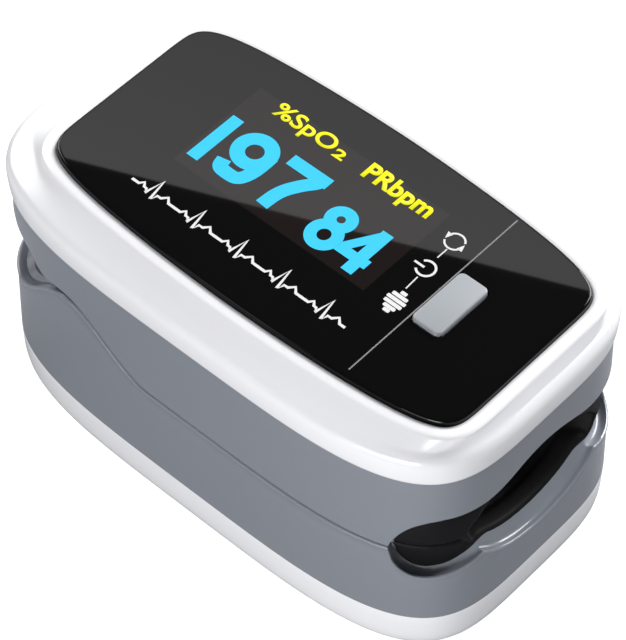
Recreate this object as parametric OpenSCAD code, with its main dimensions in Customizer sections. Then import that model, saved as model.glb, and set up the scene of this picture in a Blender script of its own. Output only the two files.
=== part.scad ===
// Fingertip pulse oximeter: two sprung jaws that close on a finger, read by a lamp and a detector.
// +X points out of the finger opening, +Y across the case and +Z up.
// The origin is the centre of the underside, and every size is in millimetres.

/* [Case] */
// Length of the case at its widest outline
case_l = 61; // [60.5:0.1:61.5]
// Width of the case at its widest outline
case_w = 35.6; // [35.2:0.1:36]
// Height of the flat rim around the display
case_h = 31.6; // [31.4:0.1:31.8]
// Height of the pale base below the grey jaw
base_h = 5.4; // [5:0.1:5.8]
// Height where the pale top cover starts
cover_z = 26.8; // [26.4:0.1:27.2]
// Thickness of the case walls
wall = 1.5; // [1.3:0.1:1.7]

/* [Seam] */
// Height of the straight part of the seam between the jaws
seam_z = 16; // [15.8:0.1:16.2]
// Height of the lower jaw's lip at the squeeze end
rear_lip_z = 14.4; // [14:0.1:14.6]
// Height of the lower jaw's ears, over the hinge
ear_z = 21; // [20.8:0.1:21.2]
// Gap between the two jaws along the seam
seam_gap = 0.4; // [0.35:0.05:0.5]

/* [Hinge] */
// Distance of the hinge pin behind the middle of the case
hinge_back = 16; // [15.8:0.1:16.2]
// Height of the hinge pin
hinge_z = 17.3; // [17.2:0.1:17.4]
// Radius of the hinge pin
pin_r = 1; // [0.9:0.05:1.1]
// Radial clearance of the upper jaw's lugs on the pin
pin_clear = 0.05; // [0.03:0.01:0.08]

/* [Finger channel] */
// Radius of the round channel between the pads
finger_r = 12; // [11.8:0.1:12.2]
// Height of the lowest line of the channel
channel_low_z = 13.4; // [13.4:0.05:13.5]
// Height of the highest line of the channel
channel_high_z = 21.5; // [21.3:0.1:21.6]
// Thickness of the soft pads
pad_t = 0.7; // [0.6:0.05:0.75]
// Place along the case where the side seam ends and the mouth starts
mouth_x = 24.6; // [24.2:0.1:25]

/* [Display] */
// Half-length of the display window
window_a = 25.8; // [25.5:0.1:26]
// Half-width of the display window
window_b = 13.26; // [13:0.02:13.4]
// Height of the window's top face
window_z = 32.6; // [32.4:0.1:32.8]

/* [Button] */
// Size of the button along the case
button_l = 3.5; // [3.2:0.1:3.8]
// Size of the button across the case
button_w = 7.4; // [7:0.1:7.8]
// Travel of the button
button_travel = 0.4; // [0.3:0.05:0.4]

/* [Batteries] */
// Radius of one battery
cell_r = 5.2; // [5.1:0.05:5.2]
// Length of one battery without its nub
cell_l = 43.7; // [43:0.1:43.7]

/* [Hidden] */
$fn = 48;

far = 100;
half_l = case_l / 2;
half_w = case_w / 2;
// Powers of the case's squared-off oval, along X and along Y.
case_power = [3.84, 4.25];
oval_points = 64;

// Stacks of [height, inset from the widest outline] for the outside of each casing.
base_levels = [[0, 1.1], [0.4, 0.55], [1, 0.25], [2.2, 0.06], [base_h, 0]];
body_levels = [[base_h, 0], [cover_z, 0.5]];
cover_levels = [[cover_z, 0.5], [28.4, 0.15], [30, 0.12], [30.8, 0.45], [31.3, 1.2], [case_h, 2.6]];

hinge_x = -hinge_back;
// Rear wall of the finger channel.
stop_x = -11.4;
stop_t = 1.2;
// Where the lower channel starts to dip, and how far it has dipped at the mouth.
flare_x = 20.5;
flare_dip = 3;
flare_widen = 0.6;
lower_axis_z = channel_low_z + finger_r;
upper_axis_z = channel_high_z - finger_r;
lower_pad_top = 15.7;
upper_pad_low = 16.1;
flange_t = 0.9;
pad_front_x = 28;
pad_inset = wall + 0.4;
pad_seat = 0.1;
// Plastic liners that back the pads.
liner_t = 0.8;
liner_front_x = 26.4;
side_front_x = 23;
// The ears of the lower jaw lie behind this, beside the upper jaw's inner parts.
ear_front_x = -4.4;

upper_liner_z = upper_pad_low + flange_t + 0.05;
lower_liner_z = lower_pad_top - flange_t - 0.05;

// The floor under the lower pad, over the batteries.
deck_z = 11.8;
deck_t = 0.6;
// The plate over the upper pad.
ceiling_z = 22.9;
ceiling_t = 0.8;
bay_front_x = 20.5;
front_hollow_z = 8.4;
lower_mouth_z = 13.4;
upper_mouth_z = 20.8;
rear_edge_z = 19.9;
rear_arch_x = -24;
arch_front_x = -16.5;

// Where the lower jaw's ear starts to rise, is highest, and comes down to the seam.
ear_rear_x = -27;
ear_x = -16.2;
ear_foot_x = -5;

lug_r = 2.6;
lug_in_y = 12.7;
lug_t = 2;
boss_in_y = 14.9;
pin_half = 16.3;

window_x = 1.5;
window_power = [1.655, 11.7];
window_low_z = 30.6;
window_bevel = 0.5;
window_clear = 0.12;

button_x = 17.8;
button_top_z = 33;
button_clear = 0.15;
button_r = 0.9;
flange_low_z = 29.9;
flange_high_z = 30.4;
flange_more = 0.8;

board_z = 26.4;
board_t = 1;
board_top = board_z + board_t;
board_screw_spots = [[-21, -11.3], [-21, 11.3], [23.2, -10], [23.2, 10]];
sensor_x = 4;
// Half-size of the holes for the lamp's window.
sensor_hole = 2.5;

// Radii of the self-tapping screws' holes, heads and posts.
pilot_r = 0.72;
shank_r = 0.7;
post_r = 1.9;
sunk_r = 1.45;
through_r = 0.85;
case_screw_spots = [[-21.5, -13.2], [-21.5, 13.2], [21.5, -13.2], [21.5, 13.2]];
cell_z = 6.45;
cell_y = 5.3;
nub_l = 0.8;
cell_gap = 0.02;
rear_plate_x = -28;
plate_t = 0.4;
plate_low = 2.6;
plate_high = 10.2;
front_plate_x = 20.05;

door_low = 0.1;
door_t = 1.1;
door_half_w = 10.6;
door_slope = 0.8;
door_front_x = 20.2;
door_clear = 0.15;
floor_t = 1.3;

grey = [0.45, 0.48, 0.50];
pale = [0.94, 0.95, 0.96];
black = [0.07, 0.07, 0.08];
steel = [0.75, 0.76, 0.78];
board_green = [0.05, 0.32, 0.18];

// ---- shapes that the pieces share ----

// Smooth step from 0 to 1.
function ease(t) = let (u = min(1, max(0, t))) u * u * (3 - 2 * u);

// Height of the lower jaw's edge along the side of the case.
function seam(x) = x < ear_x
    ? rear_lip_z + (ear_z - rear_lip_z) * ease((x - ear_rear_x) / (ear_x - 0.2 - ear_rear_x))
    : seam_z + (ear_z - seam_z) * ease((ear_foot_x - x) / (ear_foot_x - ear_x - 0.3));

// Height of the upper jaw's edge, which clears the ears while the jaw turns.
function upper_edge(x) = x < arch_front_x
    ? rear_edge_z + (ear_z + seam_gap - rear_edge_z) * ease((x - rear_arch_x) / (arch_front_x - rear_arch_x))
    : seam(x) + seam_gap;

// Points of a squared-off oval.
function oval(a, b, power) = [
    for (i = [0 : oval_points - 1])
        let (c = cos(360 * i / oval_points), s = sin(360 * i / oval_points))
        [a * sign(c) * pow(abs(c), 2 / power[0]), b * sign(s) * pow(abs(s), 2 / power[1])]
];

// Closed solid through a stack of ovals, each given as [height, inset].
module loft(levels, half = [half_l, half_w], power = case_power) {
    rings = [for (level = levels) oval(half[0] - level[1], half[1] - level[1], power)];
    points = [for (k = [0 : len(levels) - 1]) each [for (p = rings[k]) [p[0], p[1], levels[k][0]]]];
    last = (len(levels) - 1) * oval_points;
    bottom = [[for (i = [0 : oval_points - 1]) i]];
    top = [[for (i = [oval_points - 1 : -1 : 0]) last + i]];
    sides = [
        for (k = [0 : len(levels) - 2], i = [0 : oval_points - 1])
            let (a = k * oval_points, b = a + oval_points, j = (i + 1) % oval_points)
            [a + i, b + i, b + j, a + j]
    ];
    polyhedron(points, concat(bottom, sides, top));
}

// Prism across the whole width, over a side outline of [x, z] points.
module across(outline, half = far / 2) {
    translate([0, half, 0])
        rotate([90, 0, 0])
            linear_extrude(2 * half)
                polygon(outline);
}

// Block between two corners.
module block(low, high) {
    translate(low)
        cube(high - low);
}

// Block with round corners seen from above.
module round_block(size, radius, low, high) {
    translate([0, 0, low])
        linear_extrude(high - low)
            union() {
                square([size[0], size[1] - 2 * radius], center = true);
                square([size[0] - 2 * radius, size[1]], center = true);
                for (x = [-1, 1], y = [-1, 1])
                    translate([x * (size[0] / 2 - radius), y * (size[1] / 2 - radius)])
                        circle(radius);
            }
}

// Cylinder along X.
module rod_x(radius, low, high, z, y = 0) {
    translate([low, y, z])
        rotate([0, 90, 0])
            cylinder(r = radius, h = high - low);
}

// Cylinder along Y on the hinge line.
module hinge_rod(radius, low, high) {
    translate([hinge_x, high, hinge_z])
        rotate([90, 0, 0])
            cylinder(r = radius, h = high - low);
}

// The lower half of the finger's space: straight, then dipping and widening to the mouth.
module lower_channel(more) {
    rod_x(finger_r + more, stop_x, flare_x + 0.1, lower_axis_z);
    hull() {
        rod_x(finger_r + more, flare_x, flare_x + 0.1, lower_axis_z);
        rod_x(finger_r + flare_widen + more, half_l, half_l + 1, lower_axis_z - flare_dip + flare_widen);
    }
}

// The upper half of the finger's space.
module upper_channel(more) {
    rod_x(finger_r + more, stop_x, half_l + 1, upper_axis_z);
}

// Everything above a seam height that varies along the case.
module above_seam() {
    steps = [-31 : 1 : 26];
    across(concat([for (x = steps) [x, seam(x)]], [[32, seam_z], [32, 40], [-31, 40]]));
}

// Everything below the upper jaw's edge.
module below_edge() {
    steps = [26 : -1 : -31];
    across(concat([for (x = steps) [x, upper_edge(x)]], [[-31, -1], [32, -1], [32, upper_edge(26)]]));
}

// Wire swept through stations of [centre, radial direction, axis direction].
module wire(stations, radius, sides = 6) {
    count = len(stations);
    points = [
        for (s = stations, i = [0 : sides - 1])
            s[0] + radius * (cos(360 * i / sides) * s[1] + sin(360 * i / sides) * s[2])
    ];
    first = [[for (i = [0 : sides - 1]) i]];
    last = [[for (i = [sides - 1 : -1 : 0]) (count - 1) * sides + i]];
    skin = [
        for (k = [0 : count - 2], i = [0 : sides - 1])
            let (a = k * sides, b = a + sides, j = (i + 1) % sides)
            [a + i, b + i, b + j, a + j]
    ];
    polyhedron(points, concat(first, skin, last));
}

// Screw that points along +Z, with a cross in its head.
module screw(head_r, head_h, shank_r, length) {
    difference() {
        cylinder(r = head_r, h = head_h);
        for (turn = [0, 90])
            rotate([0, 0, turn])
                block([-head_r * 0.7, -0.2, -1], [head_r * 0.7, 0.2, head_h / 2]);
    }
    translate([0, 0, head_h])
        cylinder(r = shank_r, h = length);
}

// ---- upper jaw ----

// Pale frame around the display, with a seat for the window and a wide opening under it.
module top_cover() {
    color(pale)
        difference() {
            loft(cover_levels);
            loft([[cover_z - 1, wall + 0.5], [29.9, wall + 0.3]]);
            translate([window_x, 0, 0])
                loft([[window_low_z - 0.05, -window_clear], [far, -window_clear]],
                    [window_a, window_b], window_power);
            translate([window_x, 0, 0])
                loft([[29, 1.6], [far, 1.6]], [window_a, window_b], window_power);
        }
}

// Dark clear window with a bevelled edge and a hole for the button.
module display_window() {
    color(black)
        difference() {
            translate([window_x, 0, 0])
                loft([[window_low_z, 0], [window_z - window_bevel, 0], [window_z, window_bevel]],
                    [window_a, window_b], window_power);
            translate([button_x, 0, 0])
                round_block([button_l + 2 * button_clear, button_w + 2 * button_clear],
                    button_r + button_clear, window_low_z - 1, window_z + 1);
        }
}

// Glass display under the window.
module display_panel() {
    color([0.12, 0.12, 0.16])
        block([-18.5, -8.6, 28.9], [12.5, 9.4, 30.4]);
}

// Plastic carrier that holds the display over the board.
module display_frame() {
    color([0.85, 0.85, 0.82])
        difference() {
            block([-20, -9.6, board_top], [13.6, 10.4, 28.85]);
            block([-17.5, -7.6, board_top - 1], [11.5, 8.4, 29]);
        }
}

// Button cap with a flange that the window keeps in, and a short stem.
module power_button() {
    color([0.70, 0.72, 0.74])
        translate([button_x, 0, 0]) {
            round_block([button_l, button_w], button_r, flange_high_z - 0.1, button_top_z);
            round_block([button_l + flange_more, button_w + flange_more], button_r, flange_low_z, flange_high_z);
        }
}

// Circuit board of the upper jaw.
module main_board() {
    color(board_green)
        difference() {
            round_block([47.4, 26], 3, board_z, board_top);
            for (spot = board_screw_spots)
                translate([spot[0], spot[1], board_z - 1])
                    cylinder(r = 0.95, h = board_t + 2);
        }
}

// Measuring and display chip under the board, with its legs.
module main_chip() {
    color(black) {
        block([-6, -3.5, board_z - 1.2], [1, 3.5, board_z - 0.2]);
        for (i = [0 : 5], side = [-1, 1])
            translate([-5.4 + i * 1.1, side * 3.9, board_z - 0.35])
                cube([0.4, 1, 0.7], center = true);
    }
}

// Small parts under the board: crystal, connector, regulator and capacitors.
module board_parts() {
    color([0.72, 0.66, 0.48]) {
        block([-12.5, 5, board_z - 1.3], [-8.5, 7.4, board_z]);
        block([-22, -3.2, board_z - 1.2], [-18.6, 3.2, board_z]);
        block([6, -9, board_z - 1], [9, -7, board_z]);
        for (i = [0 : 3])
            block([4 + 2.2 * i, 7.5, board_z - 0.6], [5.2 + 2.2 * i, 8.2, board_z]);
    }
}

// Click switch on the board, under the button.
module tact_switch() {
    color(steel)
        translate([button_x, 0, 0]) {
            block([-1.8, -2.6, board_top], [1.8, 2.6, board_top + 1.4]);
            translate([0, 0, board_top + 1.4])
                cylinder(r = 1, h = flange_low_z - button_travel - 0.1 - board_top - 1.4);
        }
}

// Round alarm sounder under the board.
module buzzer() {
    color(black)
        difference() {
            translate([12.5, 0, board_z - 2.3])
                cylinder(r = 4.4, h = 2.3);
            translate([12.5, 0, board_z - 3.3])
                cylinder(r = 0.8, h = 2);
        }
}

// Four screws that hold the board to the upper shell.
module board_screws() {
    color(steel)
        for (spot = board_screw_spots)
            translate([spot[0], spot[1], board_top + 0.8])
                mirror([0, 0, 1])
                    screw(1.4, 0.8, shank_r, 3);
}

// Lug that hangs from the upper jaw and turns on the pin.
module lug() {
    difference() {
        union() {
            hinge_rod(lug_r, lug_in_y, lug_in_y + lug_t);
            block([hinge_x - lug_r, lug_in_y, hinge_z],
                [hinge_x + lug_r, lug_in_y + lug_t, ceiling_z + 0.1]);
        }
        hinge_rod(pin_r + pin_clear, lug_in_y - 1, lug_in_y + lug_t + 1);
    }
}

// Grey wall of the upper jaw, its ceiling plate, pad liner, lugs and board posts.
module upper_shell() {
    color(grey)
        difference() {
            union() {
                difference() {
                    loft(body_levels);
                    loft([[base_h - 1, wall], [ceiling_z, wall + 0.4]]);
                    loft([[ceiling_z + ceiling_t, wall + 0.4], [cover_z + 1, wall + 0.5]]);
                    below_edge();
                    block([mouth_x, -far, -far], [far, far, upper_mouth_z]);
                }
                intersection() {
                    loft([[base_h, wall + 0.6], [cover_z, wall + 1]]);
                    union() {
                        intersection() {
                            rod_x(finger_r + pad_t + 2 * pad_seat + liner_t, stop_x - stop_t,
                                liner_front_x, upper_axis_z);
                            block([-far, -far, upper_liner_z], [far, far, far]);
                        }
                        block([stop_x - stop_t, -far, upper_liner_z],
                            [side_front_x, far, upper_liner_z + liner_t]);
                        block([stop_x - stop_t, -far, upper_pad_low + 0.3], [stop_x, far, ceiling_z + 0.1]);
                    }
                }
                intersection() {
                    loft([[base_h, wall - 0.2], [cover_z, wall + 0.3]]);
                    block([ear_front_x, -far, upper_liner_z], [side_front_x, far, upper_liner_z + liner_t]);
                }
                lug();
                mirror([0, 1, 0])
                    lug();
                for (spot = board_screw_spots)
                    translate([spot[0], spot[1], ceiling_z + 0.2])
                        cylinder(r = post_r, h = board_z - ceiling_z - 0.2);
            }
            upper_channel(pad_t + 2 * pad_seat);
            block([sensor_x - sensor_hole, -sensor_hole, ceiling_z - 1],
                [sensor_x + sensor_hole, sensor_hole, ceiling_z + 2]);
            block([-21.8, -3, ceiling_z - 1], [-19.2, 3, ceiling_z + 2]);
            for (spot = board_screw_spots)
                translate([spot[0], spot[1], board_z - 2.6])
                    cylinder(r = pilot_r, h = 4);
        }
}

// Soft pad that arches over the finger.
module upper_pad() {
    color(black)
        difference() {
            intersection() {
                union() {
                    rod_x(finger_r + pad_t, stop_x + pad_seat, pad_front_x, upper_axis_z);
                    block([stop_x + pad_seat, -far, 0], [pad_front_x, far, upper_pad_low + flange_t]);
                    block([pad_front_x - 1.4, -far, 0], [pad_front_x, far, ceiling_z - pad_seat]);
                }
                loft([[upper_pad_low, pad_inset + 0.2], [ceiling_z, pad_inset + 0.4]]);
            }
            upper_channel(0);
            block([sensor_x - sensor_hole, -sensor_hole, 18], [sensor_x + sensor_hole, sensor_hole, far]);
        }
}

// Small board that carries the lamp, on the ceiling plate.
module emitter_board() {
    color(board_green)
        block([sensor_x - 4, -3.6, ceiling_z + ceiling_t], [sensor_x + 4, 3.6, ceiling_z + ceiling_t + 0.6]);
}

// Red and infrared lamp package, hanging through the ceiling plate.
module emitter_led() {
    color([0.95, 0.93, 0.85])
        difference() {
            block([sensor_x - 1.7, -1.5, ceiling_z - 0.1], [sensor_x + 1.7, 1.5, ceiling_z + ceiling_t]);
            for (x = [-0.8, 0.8])
                translate([sensor_x + x, 0, ceiling_z - 1])
                    cylinder(r = 0.5, h = 1.2);
        }
}

// Clear window over the lamp, flush with the pad.
module emitter_window() {
    color([0.85, 0.9, 0.92, 0.5])
        difference() {
            block([sensor_x - 2.4, -2.4, 20.9], [sensor_x + 2.4, 2.4, ceiling_z - 0.15]);
            upper_channel(0);
        }
}

// ---- lower jaw ----

// Grey wall of the lower jaw with its ears, battery ceiling, pad liner and pin bosses.
module lower_shell() {
    color(grey)
        difference() {
            union() {
                difference() {
                    loft(body_levels);
                    above_seam();
                    block([mouth_x, -far, lower_mouth_z], [far, far, far]);
                    intersection() {
                        loft([[base_h - 1, wall], [deck_z, wall + 0.1]]);
                        block([-far, -far, 0], [bay_front_x, far, far]);
                    }
                    intersection() {
                        loft([[deck_z + deck_t, wall + 0.1], [cover_z, wall + 0.4]]);
                        union() {
                            block([-far, -far, 0], [side_front_x, far, far]);
                            block([-far, -far, lower_mouth_z], [far, far, far]);
                        }
                    }
                    intersection() {
                        loft([[base_h - 1, wall + 0.1], [front_hollow_z, wall + 0.1]]);
                        block([bay_front_x + 1.2, -far, 0], [far, far, far]);
                    }
                }
                intersection() {
                    loft([[base_h, wall - 0.3], [cover_z, wall + 0.2]]);
                    union() {
                        intersection() {
                            rod_x(finger_r + pad_t + pad_seat + liner_t, stop_x - stop_t,
                                side_front_x, lower_axis_z);
                            block([-far, -far, 0], [far, far, lower_liner_z]);
                        }
                        block([stop_x - stop_t, -far, lower_liner_z - liner_t],
                            [side_front_x, far, lower_liner_z]);
                        block([stop_x - stop_t, -far, deck_z + deck_t - 0.1],
                            [stop_x, far, seam_z - 0.2]);
                    }
                }
                for (spot = case_screw_spots)
                    translate([spot[0], spot[1], base_h])
                        cylinder(r = post_r, h = deck_z - base_h + 0.1);
                for (side = [0, 1])
                    mirror([0, side, 0])
                        hinge_rod(lug_r, boss_in_y, pin_half + 0.2);
            }
            lower_channel(pad_t + pad_seat);
            hinge_rod(pin_r + 0.02, -pin_half, pin_half);
            block([sensor_x - 4, -3.4, 0], [sensor_x + 4, 3.4, far]);
            block([stop_x - 2, -2.8, deck_z + deck_t], [sensor_x, 2.8, deck_z + deck_t + 0.4]);
            for (spot = case_screw_spots)
                translate([spot[0], spot[1], base_h - 1])
                    cylinder(r = pilot_r, h = 4.6);
        }
}

// Soft pad under the finger, with a bead at the mouth.
module lower_pad() {
    color(black)
        difference() {
            intersection() {
                union() {
                    lower_channel(pad_t);
                    block([stop_x + pad_seat, -far, lower_pad_top - flange_t], [pad_front_x, far, far]);
                    block([mouth_x - 1.4, -far, lower_mouth_z + 0.05], [pad_front_x, far, far]);
                }
                loft([[base_h, pad_inset], [lower_pad_top, pad_inset + 0.2]]);
                block([stop_x + pad_seat, -far, 0], [pad_front_x, far, far]);
            }
            lower_channel(0);
            block([sensor_x - 2.3, -2.3, 0], [sensor_x + 2.3, 2.3, far]);
        }
}

// Small board that carries the detector, let into the deck.
module detector_board() {
    color(board_green)
        block([sensor_x - 3.9, -3.3, deck_z - 0.05], [sensor_x + 3.9, 3.3, deck_z + 0.5]);
}

// Light detector chip.
module photodiode() {
    color([0.2, 0.2, 0.3])
        block([sensor_x - 1.5, -1.5, deck_z + 0.5], [sensor_x + 1.5, 1.5, deck_z + 1.05]);
}

// Clear window over the detector, flush with the pad.
module detector_window() {
    color([0.85, 0.9, 0.92, 0.5])
        difference() {
            block([sensor_x - 2.2, -2.2, deck_z + 1.1], [sensor_x + 2.2, 2.2, channel_low_z + 1]);
            rod_x(finger_r, stop_x, flare_x, lower_axis_z);
        }
}

// Pale tray under the lower jaw, with a dovetail slot for the battery door.
module bottom_cover() {
    color(pale)
        difference() {
            union() {
                difference() {
                    loft(base_levels);
                    loft([[floor_t, wall + 0.3], [base_h + 1, wall]]);
                }
                for (spot = case_screw_spots)
                    translate([spot[0], spot[1], 0.3])
                        cylinder(r = post_r, h = base_h - 0.3);
            }
            door_shape(door_clear, door_front_x + door_clear);
            for (spot = case_screw_spots)
                translate([spot[0], spot[1], -1]) {
                    cylinder(r = sunk_r, h = 2.6);
                    cylinder(r = through_r, h = far);
                }
        }
}

// Dovetail plate of the door, grown all round by a clearance.
module door_shape(more, front) {
    wide = door_half_w + door_slope;
    low = more > 0 ? -1 : door_low;
    high = door_low + door_t + more;
    translate([front, 0, 0])
        rotate([90, 0, -90])
            linear_extrude(front + half_l + (more > 0 ? 5 : 0))
                polygon([
                    [-door_half_w - more, low],
                    [door_half_w + more, low],
                    [wide + more, high],
                    [-wide - more, high]
                ]);
}

// Battery door that slides off past the squeeze end, with grip grooves.
module battery_door() {
    color(pale)
        difference() {
            intersection() {
                door_shape(0, door_front_x);
                loft(base_levels);
            }
            for (i = [0 : 3])
                block([-24 + 1.8 * i, -5, -1], [-23.2 + 1.8 * i, 5, door_low + 0.4]);
        }
}

// One battery, its can and its nub, pointing along +X.
module battery(can_x) {
    color([0.55, 0.57, 0.62])
        union() {
            rod_x(cell_r, can_x, can_x + cell_l, 0);
            rod_x(1.9, can_x + cell_l - 0.1, can_x + cell_l + nub_l, 0);
        }
}

// Battery on the +Y side, with its nub towards the mouth.
module battery_left() {
    translate([0, cell_y, cell_z])
        battery(front_plate_x - cell_gap - nub_l - cell_l);
}

// Battery on the -Y side, with its nub towards the squeeze end.
module battery_right() {
    translate([0, -cell_y, cell_z])
        mirror([1, 0, 0])
            battery(-rear_plate_x - plate_t - cell_gap - nub_l - cell_l);
}

// Plate that joins the two batteries at the squeeze end.
module rear_contact() {
    color(steel)
        block([rear_plate_x, -9, plate_low], [rear_plate_x + plate_t, 9, plate_high]);
}

// Two separate plates at the mouth end, with solder tails.
module front_contacts() {
    color(steel)
        for (side = [-1, 1])
            translate([0, side * cell_y, 0]) {
                block([front_plate_x, -3.8, plate_low], [front_plate_x + plate_t, 3.8, plate_high]);
                block([front_plate_x, -0.8, plate_high], [front_plate_x + plate_t, 0.8, deck_z - 0.2]);
            }
}

// One cone-shaped spring from a plate at the origin to a battery on the +X side.
module cone_spring(length) {
    turns = 3;
    per_turn = 12;
    wire([
        for (i = [0 : turns * per_turn])
            let (
                t = i / (turns * per_turn),
                turn = 360 * i / per_turn,
                radial = [0, cos(turn), sin(turn)],
                radius = 3.5 - 1.3 * t
            )
            [[0.3 + (length - 0.6) * t, 0, 0] + radius * radial, radial, [-1, 0, 0]]
    ], 0.25);
}

// The two springs that press the batteries onto their plates.
module contact_springs() {
    color(steel) {
        length = front_plate_x - cell_gap - nub_l - cell_l - rear_plate_x - plate_t;
        translate([rear_plate_x + plate_t, cell_y, cell_z])
            cone_spring(length);
        translate([front_plate_x, -cell_y, cell_z])
            mirror([1, 0, 0])
                cone_spring(length);
    }
}

// Four screws that hold the base to the lower shell.
module case_screws() {
    color(steel)
        for (spot = case_screw_spots)
            translate([spot[0], spot[1], 0.6])
                screw(1.3, 0.9, shank_r, 6.8);
}

// ---- hinge ----

// Steel pin through both jaws.
module hinge_pin() {
    color(steel)
        hinge_rod(pin_r, 0.1 - pin_half, pin_half - 0.1);
}

// Torsion spring round the pin, whose legs push the squeeze ends apart.
module torsion_spring(start_y) {
    coil_r = 1.9;
    wire_r = 0.3;
    turns = 5;
    per_turn = 12;
    pitch = 0.75;
    leg = 9.2;
    low_turn = -73;
    high_turn = 69 + 360 * turns;
    span = high_turn - low_turn;
    steps = ceil(per_turn * span / 360);
    function radial(turn) = [cos(turn), 0, sin(turn)];
    function station(turn, slide) = [
        [hinge_x, start_y + pitch * (turn - low_turn) / 360, hinge_z] + coil_r * radial(turn)
            + slide * [-sin(turn), 0, cos(turn)],
        radial(turn),
        [0, 1, 0]
    ];
    color(steel)
        wire(concat(
            [station(low_turn, -leg)],
            [for (i = [0 : steps]) station(low_turn + span * i / steps, 0)],
            [station(high_turn, leg)]
        ), wire_r);
}

// Spring on the +Y side.
module torsion_spring_left() {
    torsion_spring(5.2);
}

// Spring on the -Y side.
module torsion_spring_right() {
    torsion_spring(-9.3);
}

// Flat cable from the main board, behind the pin, to the detector board.
module flex_cable() {
    half_t = 0.09;
    bend = [
        [-20.5, 25.1], [-20.5, 22], [-20.9, 20.2], [-21, 18.2], [-20.4, 16.2],
        [-19.2, 14.4], [-17.6, 13.1], [-15.8, 12.55], [-14, 12.5], [0.8, 12.5]
    ];
    last = len(bend) - 1;
    function along(i) = let (d = bend[min(last, i + 1)] - bend[max(0, i - 1)]) d / norm(d);
    function beside(i, side) = bend[i] + side * half_t * [-along(i)[1], along(i)[0]];
    color([0.85, 0.55, 0.15])
        across(concat(
            [for (i = [0 : last]) beside(i, 1)],
            [for (i = [last : -1 : 0]) beside(i, -1)]
        ), 2.4);
}

top_cover();
display_window();
display_panel();
display_frame();
power_button();
main_board();
main_chip();
board_parts();
tact_switch();
buzzer();
board_screws();
upper_shell();
upper_pad();
emitter_board();
emitter_led();
emitter_window();
lower_shell();
lower_pad();
detector_board();
photodiode();
detector_window();
bottom_cover();
battery_door();
battery_left();
battery_right();
rear_contact();
front_contacts();
contact_springs();
case_screws();
hinge_pin();
torsion_spring_left();
torsion_spring_right();
flex_cable();
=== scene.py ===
# %% [markdown]
# # A fingertip pulse oximeter
# Two plastic jaws turn on a steel pin and close on a finger. The upper jaw carries a white cover
# with a smoked window, a display and a button. The lower jaw holds two batteries over a white tray
# with a sliding door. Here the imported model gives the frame, and each visible piece is modelled
# again, finely, in the place that the frame gives it.

# %% Load the frame
import math

import bpy
import numpy as np
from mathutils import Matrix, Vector


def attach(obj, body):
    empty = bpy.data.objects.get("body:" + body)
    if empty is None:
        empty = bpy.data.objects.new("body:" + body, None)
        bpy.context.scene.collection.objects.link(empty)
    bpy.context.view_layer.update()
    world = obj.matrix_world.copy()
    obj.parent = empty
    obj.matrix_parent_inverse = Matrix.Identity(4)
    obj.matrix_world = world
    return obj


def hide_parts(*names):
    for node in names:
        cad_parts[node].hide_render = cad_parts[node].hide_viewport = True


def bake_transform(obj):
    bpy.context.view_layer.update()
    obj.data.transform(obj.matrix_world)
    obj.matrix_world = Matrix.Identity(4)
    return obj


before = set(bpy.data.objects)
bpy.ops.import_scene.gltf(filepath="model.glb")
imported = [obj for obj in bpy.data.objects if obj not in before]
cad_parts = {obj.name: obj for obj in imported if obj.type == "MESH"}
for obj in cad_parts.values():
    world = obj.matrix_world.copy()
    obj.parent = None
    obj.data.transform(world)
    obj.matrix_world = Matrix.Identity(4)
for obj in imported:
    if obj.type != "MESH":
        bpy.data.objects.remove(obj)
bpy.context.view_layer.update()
MM = 0.001

# %% [markdown]
# ## Camera
# A product view from above the finger opening's near corner, with a long lens, so that lines stay
# almost parallel. The camera could be turned by hand with a Track To constraint. Here its turn is
# worked out from the point that it looks at, and a small shift frames the object.

# %% Camera
LOOK_AT = Vector((0, 0, 15)) * MM
CAMERA_AT = Vector((131.04, -144.93, 260.13)) * MM
bpy.ops.object.camera_add(location=CAMERA_AT)
camera = bpy.context.object
camera.rotation_euler = (LOOK_AT - CAMERA_AT).to_track_quat("-Z", "Y").to_euler()
camera.data.lens = 177.3
camera.data.sensor_width = 36
camera.data.shift_x = 0.0082
camera.data.shift_y = 0.0052
camera.data.clip_start = 0.01
bpy.context.scene.camera = camera
print("camera", round((LOOK_AT - CAMERA_AT).length / MM), "mm away")

# %% [markdown]
# ## Studio
# The real thing stands on white paper between soft boxes. A wide pale floor, a dim room and a few
# area lights do the same. One large bright card hangs high behind the object, because a polished
# window looks like a window only when it mirrors something with an edge.

# %% Floor and room
def new_node(tree, kind, **values):
    """A shader node with inputs set by name, where an underscore stands for a space."""
    node = tree.nodes.new(kind)
    for title, value in values.items():
        node.inputs[title.replace("_", " ")].default_value = value
    return node


def wire(source, target):
    """Links an output socket to an input socket of the same tree."""
    source.id_data.links.new(source, target)


def empty_tree(owner):
    """The node tree of a material or a world, with nothing in it."""
    owner.use_nodes = True
    owner.node_tree.nodes.clear()
    return owner.node_tree


def end_for_camera(tree, plain, seen, out_kind):
    """Ends a tree so that the camera sees one shader and every other ray meets the plain one."""
    path = new_node(tree, "ShaderNodeLightPath")
    mix = new_node(tree, "ShaderNodeMixShader")
    out = new_node(tree, out_kind)
    wire(path.outputs["Is Camera Ray"], mix.inputs[0])
    wire(plain.outputs[0], mix.inputs[1])
    wire(seen.outputs[0], mix.inputs[2])
    wire(mix.outputs[0], out.inputs["Surface"])


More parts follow.
